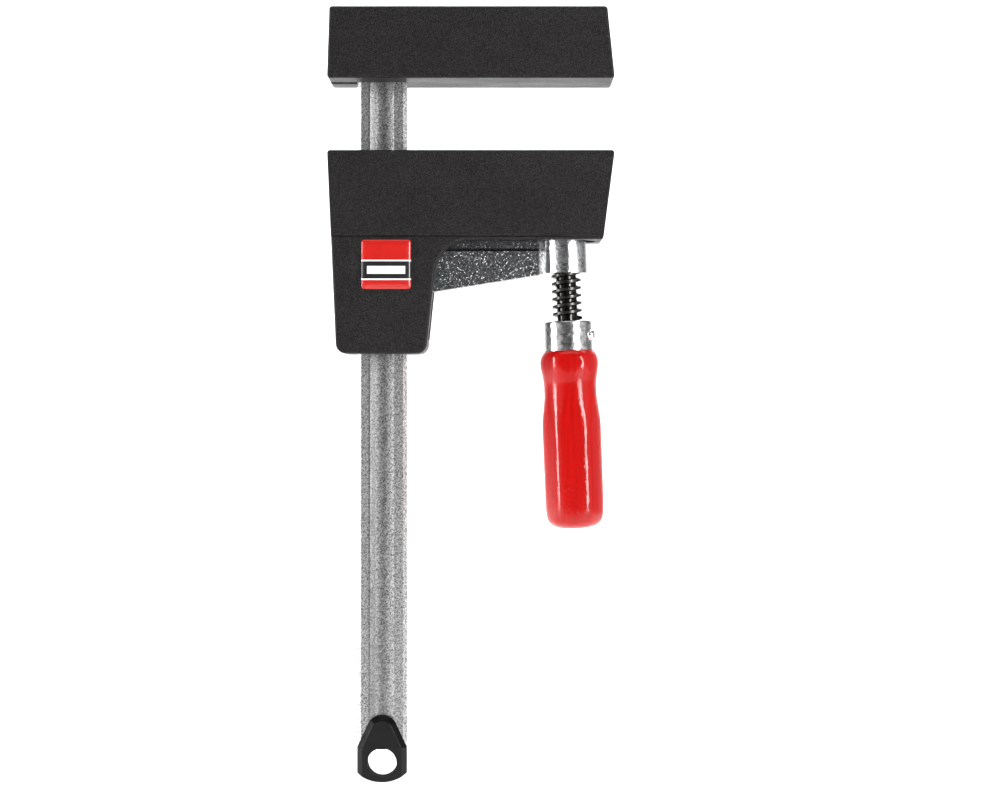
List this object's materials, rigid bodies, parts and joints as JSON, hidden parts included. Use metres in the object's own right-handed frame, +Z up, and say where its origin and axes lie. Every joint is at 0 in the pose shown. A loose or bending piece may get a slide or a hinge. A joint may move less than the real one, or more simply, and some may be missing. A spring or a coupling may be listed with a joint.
{
  "type": "f clamp",
  "caption": "Light parallel-jaw F clamp: black plastic-covered jaws on a flat steel rail, red handle on a threaded spindle, hanging hole at the rail's foot.",
  "frame": {"origin": "centre of the fixed jaw's clamping face, half way between the rail and the jaw tip", "axes": "+Z up the rail towards the fixed jaw, out of the sliding jaw's clamping face; +X from the rail to the jaw tips; +Y to the back"},
  "size_m": [0.1119, 0.0337, 0.3037],
  "materials": {
    "rail_steel": "matt zinc plate, fine speckle",
    "arm_steel": "plain steel, hidden inside the jaws",
    "jaw_plastic": "black glass-filled nylon, fine grain, satin",
    "cap_plastic": "dark grey moulded plastic, satin",
    "badge_plastic": "domed red badge, plain",
    "cast_arm": "galvanised casting, sparkling grain",
    "spring_steel": "blued spring steel",
    "black_steel": "black oxide, oiled",
    "plated_steel": "bright plated steel",
    "lacquered_wood": "red gloss lacquer over turned wood"
  },
  "bodies": {
    "frame": {"rail": "rail_steel", "fixed_arm": "arm_steel", "fixed_arm_rivets": "arm_steel", "fixed_jaw_cover": "jaw_plastic", "end_cap": "cap_plastic"},
    "jaw": {"sliding_jaw_housing": "jaw_plastic", "thrust_plate": "arm_steel", "badge": "badge_plastic"},
    "brake": {"brake_spring": "spring_steel"},
    "arm": {"sliding_arm": "cast_arm", "arm_grip_pins": "arm_steel"},
    "pad": {"pressure_pad": "arm_steel", "pad_clip": "spring_steel"},
    "spindle": {"spindle": "black_steel", "ferrule": "plated_steel", "ferrule_pin": "plated_steel", "handle": "lacquered_wood"}
  },
  "joints": [
    {"name": "jaw_slide", "type": "slide", "parent": "frame", "child": "jaw", "axis": [0, 0, 1], "range_m": [-0.1415, 0.0279]},
    {"name": "arm_travel", "type": "slide", "parent": "jaw", "child": "brake", "axis": [0, 0, -1], "range_m": [0, 0.01499]},
    {"name": "arm_tilt", "type": "hinge", "parent": "brake", "child": "arm", "pos_m": [-0.0505, 0, -0.0675], "axis": [0, 1, 0], "range_deg": [0, 2.2], "stiffness_Nm_per_rad": 5, "springref_deg": -3.44},
    {"name": "screw_travel", "type": "slide", "parent": "arm", "child": "pad", "axis": [-0.0384, 0, 0.9993], "range_m": [0, 0.01501]},
    {"name": "spindle_turn", "type": "hinge", "parent": "pad", "child": "spindle", "pos_m": [0.0221, 0, -0.07784], "axis": [-0.0384, 0, 0.9993], "range_deg": [0, 1800]}
  ],
  "couplings": [
    {"joint": "screw_travel", "follows": "arm_travel", "ratio": 1.0007},
    {"joint": "spindle_turn", "follows": "arm_travel", "rad_per_m": 2095.9}
  ]
}
